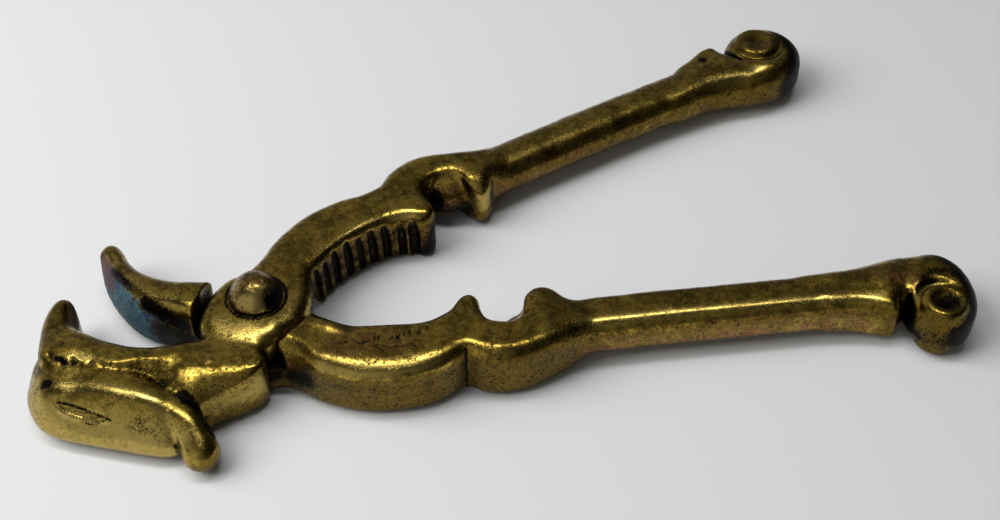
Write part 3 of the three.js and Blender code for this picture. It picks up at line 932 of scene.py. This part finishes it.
def aged_brass(name, gold, brown):
    """Worn cast brass: gold on what is rubbed and paler under painted highlights, brown between, dark in
    pits, and dark in recesses as painted shade with grime.
    """
    material = bpy.data.materials.new(name)
    n = Nodes(material, "Principled BSDF")
    mottle = n.noise(0.75, 5, 0.68, 0.3)
    speck = n.noise(2.4, 3, 0.6)
    pits, fine_pits = holes(n, speck)
    teal = n.span(n.plus(n.fact("teal"), n.span(mottle, 0.3, 0.7, -0.22, 0.22)), 0.35, 0.6)
    plum = n.span(n.plus(n.fact("plum"), n.span(mottle, 0.3, 0.7, -0.2, 0.2)), 0.4, 0.7, 0.0, 0.8)
    color = n.mix(teal, worn_metal(n, mottle, gold, brown), patina(n, speck))
    color = n.mix(plum, color, PLUM)
    dark = n.most(grime_and_shade(n, mottle, speck), pits, n.times(fine_pits, 0.75))
    n.link(n.mix(dark, color, GRIME_AND_SHADE), n.output["Base Color"])
    tarnish = n.most(teal, plum)
    n.link(n.span(tarnish, 0.0, 1.0, 1.0, 0.2), n.output["Metallic"])
    n.link(0.3, n.output["Specular IOR Level"])
    n.link(1.5, n.output["IOR"])
    uneven = n.times(n.span(mottle, 0.3, 0.7, 0.1, 0.0), n.duller(0.2))
    rough = n.plus(uneven, 0.21, n.times(dark, 0.25))
    n.link(n.most(rough, n.span(tarnish, 0.0, 1.0, 0.15, 0.62)), n.output["Roughness"])
    soft_waves = n.span(n.fact("painted_highlight"), 0.0, 1.0, 0.3, 0.09)
    normal = n.bump(n.noise(0.5, 1, 0.5), soft_waves, 0.00012)
    normal = n.bump(n.maths("SUBTRACT", 1.0, pits), 0.3, 0.00006, Normal=normal)
    n.link(n.bump(speck, 0.12, 0.00003, Normal=normal), n.output["Normal"])
    return material


def studio_floor():
    """A matt pale grey, very slightly cloudy."""
    material = bpy.data.materials.new("studio_floor")
    n = Nodes(material, "Principled BSDF")
    color = n.mix(n.noise(0.004, 2, 0.5), (0.514, 0.519, 0.518), (0.532, 0.537, 0.536))
    n.link(color, n.output["Base Color"])
    n.link(0.7, n.output["Roughness"])
    n.link(0.2, n.output["Specular IOR Level"])
    return material


# ---- the three pieces ----
def along(line, *levels):
    """A plan line repeated at each height."""
    return [[(u, v, z) for u, v in line] for z in levels]


def circle(radius, z, first=0, last=360):
    """Points round the pivot at a height, between two angles in degrees."""
    plan = arc((0, 0), (radius, radius), np.arange(first, last + 1, 12))
    return np.column_stack([plan, np.full(len(plan), z)])


# Where wear, dirt and patina lie on each piece, and where shade and highlights are painted: under each
# mark's name, strokes for near() in its shut frame.
MARKS_A = {
    "soot_and_shade": [
        *[(line, 0.26, 0.8) for line in GOUGES_A],
        *[(line, 0.26, 0.6) for line in NICKS_A],
        (circle(5.7, 12.4), 0.45, 1),
        # Painted shade where the boss and the flank meet lever B, and on the beak's right side against the
        # flank.
        ([(9, -4.5, 9), (8, -7.5, 8), (6.5, -9.5, 5)], 1.6, 0.8),
        ([(-5.6, -12.4, 9), (-5, -13.4, 3)], 1.3, 0.9),
        ([(-22.6, -8, 9.5), (-21.2, -12.5, 6), (-21, -15, 2)], 1.5, 0.9),
        ([(-40.5, 10.6, 8), (-38.5, 8.8, 11), (-35.4, 4.4, 11.4)], 0.5, 0.55),
        ([(-41.2, 3.9), (-40.5, 3.4)], 0.75, 1.4),
        ([(-36.5, 15.5, 11), (-38, 12.6, 10.6)], 1.6, 0.4),
        (eye_arcs()[0], 0.2, 0.8),
        (eye_arcs()[1], 0.12, 0.6),
        ([(-30.5, -11.5, 8), (-27.5, -14.5, 6.5)], 2.4, 0.42),
        # Painted shade in the notch, on the first tooth's end wall and in the slot.
        ([(42.2, 6, 4), (43.5, 10, 6), (46, 11.2, 6), (49, 10.8, 6), (51, 7, 4)], 3.6, 0.8),
        ([(39, 1.6, 2), (41.4, 2.4, 8)], 2.8, 1),
        ([(121.5, 12, 8), (124.2, 9, 9)], 1.4, 0.8),
        ([(117.4, 11.4, 11), (117.6, 11.4, 10)], 1.1, 1),
        *[(line, 2, 0.55) for line in along(NUT_FACE_A, 2, 5.5, 8)],
    ],
    "plum": [([(-29.6, 20, 9), (-30.2, 15.5, 9)], 2, 1.4), ([(-23, 2.2, 11), (-15, -1, 11)], 0.9, 0.8)],
    "red": [
        ([(60, 6, 6), (80, 6, 7)], 3, 0.5),
        ([(43, 9, 7), (50, 9, 7)], 4, 0.7),
        ([(14, 2, 9), (24, 5, 7), (36, 3, 7)], 2.4, 0.7),
    ],
    # Painted shade: the scroll's right end, the notch, the band along the seam that catches light, inside
    # the hook, and the beak's right side and the crease beside it.
    "painted_shade": [
        ([(139.5, 12, 9), (139, 6, 10), (137, 0.8, 9.5), (133, -1.5, 6)], 4, 1.4),
        ([(43.5, 8.5, 5), (46, 11.5, 5), (49.5, 10, 5)], 3.4, 0.6),
        ([(-31, 3, 11), (-28, 0, 11), (-25.2, -3.8, 10.6), (-23.4, -7.8, 10)], 1.4, 0.3),
        ([(-29.2, 19.5, 9), (-30, 15.5, 8.5)], 1.2, 0.7),
        ([(-21.2, -12.4, 10), (-20.2, -16, 8.6), (-20, -20, 6.4)], 1.3, 1.2),
        ([(-25.4, -12.5, 9), (-26, -16.5, 6), (-25.9, -19.6, 3)], 0.7, 0.8),
    ],
    # Painted highlights, and painted light on lit faces such as the head's face and the bar's side.
    "painted_highlight": [
        ([(-43, 2, 5), (-38, -6, 5), (-31, -13, 5), (-24, -18, 5)], 6, 1),
        ([(-39.3, 1.3), (-35.5, -1.6), (-31.1, -5.5), (-27.4, -10), (-25.4, -14.6)], 1.3, 1),
        ([(-18, -12, 7), (-7, -14, 7)], 4, 0.9),
        ([(-8, -3, 12), (-5, -7, 12), (1, -8, 11), (7, -5, 11)], 3.8, 0.7),
        ([(16, 4, 12), (26, 6, 12), (36, 4, 12)], 1.4, 1),
        ([(-34.5, 5.5, 11.8), (-32, 3.4, 11.8)], 1.3, 0.9),
        (eye_arcs()[1] + [-0.35, -0.28], 0.35, 1),
        ([(53.5, 3, 11), (53.5, 3, 6)], 2, 1),
        ([(60, 8.4), (75, 7.9), (92, 7.3), (108, 6.4)], 1, 0.5),
        ([(112, 5.2), (119, 3.2), (126, 1.8), (131, 2.6)], 1.3, 0.9),
        ([(66, 6, 5), (110, 4.5, 5)], 3, 0.3),
    ],
    "beaten": [([(-20.5, -6, 10.6), (-14.5, -8.8, 11.2), (-9, -12.4, 10.6)], 2.6, 1)],
}
MARKS_B = {
    "soot_and_shade": [
        *[(line, 0.24, 0.9) for line in NICKS_B],
        # Painted shade with grime round the claw's root and end, in the gap by lever A.
        ([(-11, -5, 9), (-11.6, 0, 8), (-12, 3, 6)], 2, 1.1),
        ([(-12, 3.5, 3), (-18.5, 1.2, 5), (-16, 2, 2)], 3, 1.1),
        ([(-13, 2.4, 7.6), (-17.5, -0.6, 9), (-20.8, -3, 9.8)], 1.7, 1.2),
        ([(-20.8, -3.4, 10), (-25.6, -8.6, 10.3), (-28.8, -12, 10.2)], 1, 1.1),
        ([(8, 2.4, 6), (11.5, 4.4, 8)], 2.2, 0.9),
        # Painted shade on the neck under lever A's flank and in the slot.
        ([(-3, 13, 5), (3, 12, 5), (7, 9, 4)], 2.6, 0.7),
        ([(124.6, 7.5, 9), (124.5, 10, 6), (125.2, 15, 4)], 1.3, 0.9),
        ([(8.5, 16, 6), (6.5, 14.6, 5)], 2.6, 0.9),
        ([(3, 13.2, 12), (5.4, 13.8, 11)], 1.8, 0.6),
        # Painted shade: the dark band just under the jaw's highlight.
        ([(12, 18.6, 7.6), (22, 21.2, 7.4), (32, 20.2, 7.6), (37, 17.6, 8)], 1.5, 0.36),
        ([(126, 16.5, 5), (131, 18.4, 5), (136, 15, 6)], 3.4, 0.42),
        *[(line, 1.9, 0.4) for line in along(NUT_FACE_B, 2, 5.5, 8.5)],
    ],
    "teal": [([(-19.5, -0.2, 4), (-23, -3.2, 5.5), (-26.6, -7, 6.5), (-29.8, -12, 6.5)], 4.2, 1.2)],
    "plum": [
        ([(-29.6, -11.6, 8), (-30.8, -15.5, 8), (-31.2, -18, 7)], 2.8, 1.3),
        ([(-20, 0, 7.2), (-18.6, 0.6, 6)], 1.2, 0.9),
    ],
    "red": [
        ([(66, 8.6, 8.6), (84, 9.6, 8), (112, 9.4, 7)], 1.7, 0.9),
        ([(60, 13, 5), (80, 11.8, 5), (100, 11.4, 5), (116, 11, 5)], 2.6, 0.75),
        ([(14, 13, 12.4), (26, 14, 12.4)], 3, 0.5),
        ([(122.6, 5, 11), (125.6, 6.4, 10.6)], 1.6, 1),
        ([(117, 3, 11), (119, 3, 11)], 1.6, 0.8),
        ([(6, 14, 8), (4, 13, 8)], 2.2, 0.9),
    ],
    # Painted shade: the scroll's right end, the waist crease, the knob's dish and channel, and the neck
    # under lever A's flank.
    "painted_shade": [
        ([(133.5, 16.5, 7), (136, 12, 9.4), (136.6, 5, 10.3), (133.5, -0.8, 10)], 3.1, 1.4),
        ([(38.6, 18.6), (38.4, 15.9)], 0.45, 0.9),
        ([(129.8, 13.8, 11), (131.6, 12.6, 11)], 3, 0.8),
        ([(135.2, 9, 11.4), (133.4, 5.4, 11.6), (129.6, 5, 11.6), (127.4, 7, 11.4)], 1.3, 0.8),
        ([(-3, 13.4, 6), (2, 13.4, 6)], 2.4, 0.9),
    ],
    # Painted highlights, and painted light on the bar's lit side.
    "painted_highlight": [
        ([(66, 11, 5), (118, 11, 5)], 4, 0.5),
        ([(60, 10.9), (75, 9.8), (92, 9.3), (108, 8.9), (118, 9.8)], 1.1, 0.8),
        ([(12, 17, 11), (17, 18.6, 11), (24, 19.6, 11), (34, 17.8, 11)], 1.8, 0.9),
        ([(124.8, 13.5, 10.6), (125.2, 10.6, 10.6), (127.2, 8.6, 10.6), (130, 8.2, 10.6)], 1.3, 0.9),
        ([(-14, 0, 12), (-20, -3.5, 11.5), (-25, -8.5, 11)], 1.6, 0.8),
    ],
}
MARKS_RIVET = {
    # The ring is the dark joint at the rivet's foot; the arc darkens the dome's right side as painted
    # shade.
    "soot_and_shade": [(circle(5.4, 12.9), 0.8, 0.9), (circle(4.9, 14.6, -60, 36), 1.9, 1.2)],
    "red": [([(-2, 1, 16.5), (2.5, 2, 16)], 2.4, 0.6)],
    # Painted highlight on the dome.
    "painted_highlight": [([(-2.5, -2.5, 16), (0.5, -4, 15)], 2.6, 1)],
}
upper = build("tongs_lever_upper", lever_a, (0.05, 11), MARKS_A, turn=HALF_OPENING)
lower = build("tongs_lever_lower", lever_b, (0.05, 23), MARKS_B, turn=-HALF_OPENING, mirrored=True)
pin = build("tongs_rivet", rivet, (0.19, 31), MARKS_RIVET, fitted=False)

LEVER_COLORS = (0.45, 0.312, 0.055), (0.165, 0.108, 0.017)
RIVET_COLORS = (0.46, 0.31, 0.085), (0.13, 0.08, 0.024)
upper.data.materials.append(aged_brass("aged_brass_upper", *LEVER_COLORS))
lower.data.materials.append(aged_brass("aged_brass_lower", *LEVER_COLORS))
pin.data.materials.append(aged_brass("rivet_brass", *RIVET_COLORS))

for piece, body, node, slot in (
    (upper, "upper_lever", "lever_a", "lever_brass"),
    (lower, "lower_lever", "lever_b", "lever_brass"),
    (pin, "upper_lever", "pivot_rivet", "rivet_brass"),
):
    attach(piece, body)
    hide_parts(node)

# ---- stage ----
FLOOR_REACH = 3.0
RIGHT = Vector((0.94248, -0.33427, 0)).normalized()  # the picture's width
AHEAD = Vector((0.23409, 0.66001, -0.71386)).normalized()
EYE_PLACE = (-0.02133, -0.19805, 0.22001)

floor_mesh = bpy.data.meshes.new("floor")
corners = [(u * FLOOR_REACH, v * FLOOR_REACH, 0) for u, v in ((-1, -1), (1, -1), (1, 1), (-1, 1))]
floor_mesh.from_pydata(corners, [], [(0, 1, 2, 3)])
floor = bpy.data.objects.new("floor", floor_mesh)
bpy.context.scene.collection.objects.link(floor)
floor_mesh.materials.append(studio_floor())


def panel(name, size, power, position, target=(0, 0, 0), glossy=True):
    """A soft light that faces its target, its width along the picture's width. One that is not glossy
    leaves no reflection on metal."""
    light = bpy.data.lights.new(name, "AREA")
    light.shape = "RECTANGLE"
    light.size, light.size_y = size
    light.energy = power
    lamp = bpy.data.objects.new(name, light)
    lamp.visible_glossy = glossy
    lamp.visible_camera = False
    lamp.location = position
    away = (Vector(position) - Vector(target)).normalized()
    across = (RIGHT - away * RIGHT.dot(away)).normalized()
    lamp.rotation_euler = Matrix((across, away.cross(across), away)).transposed().to_euler()
    bpy.context.scene.collection.objects.link(lamp)


def sky(wall, gap, behind, side):
    """A room seen as bands of grey: a far wall, a dark gap by the softbox and a lighter wall behind
    the camera, dimmed towards its right down to the side's share."""
    world = bpy.data.worlds.new("studio")
    bpy.context.scene.world = world
    n = Nodes(world, "Background")
    far, right, up = (
        n.add("VectorMath", {0: n.where["Generated"], 1: way}, operation="DOT_PRODUCT").outputs["Value"]
        for way in ((0.334, 0.9425, 0), (0.9425, -0.334, 0), (0, 0, 1))
    )
    lean = {"Value": n.maths("ARCTAN2", far, up), "From Min": -math.pi / 2, "From Max": math.pi / 2}
    greys = n.add("ValToRGB", {"Fac": n.add("MapRange", lean).outputs["Result"]})
    stops = greys.color_ramp.elements
    bands = ((-90, behind), (-32, behind), (-19, gap), (0, gap), (22, gap), (40, wall), (90, wall))
    for index, (degrees, grey) in enumerate(bands):
        stop = stops[index] if index < 2 else stops.new(1.0)
        stop.position = (degrees + 90) / 180
        stop.color = (grey, grey, grey, 1)
    n.link(greys.outputs["Color"], n.output["Color"])
    n.link(n.span(right, -0.5, 0.70, 1.5, side), n.output["Strength"])


sky(0.215, 0.018, 0.34, 0.04)
panel("overhead_softbox", (0.80, 0.17), 5.2, (0.0, 0.13, 1.15))
panel("overhead_fill", (0.80, 0.30), 1.0, (0.0, 0.13, 1.16), glossy=False)
panel("left_wash", (0.5, 0.5), 5.4, (-0.41, 0.09, 0.45), (-0.02, 0, 0), glossy=False)
bpy.context.scene.view_settings.view_transform = "Standard"

camera = bpy.data.cameras.new("photo_camera")
camera.lens = 54.04
camera.sensor_width = 36.0
eye = bpy.data.objects.new("photo_camera", camera)
turn = Matrix((RIGHT, RIGHT.cross(AHEAD), -AHEAD)).transposed().to_4x4()
eye.matrix_world = Matrix.Translation(EYE_PLACE) @ turn
bpy.context.scene.collection.objects.link(eye)
bpy.context.scene.camera = eye
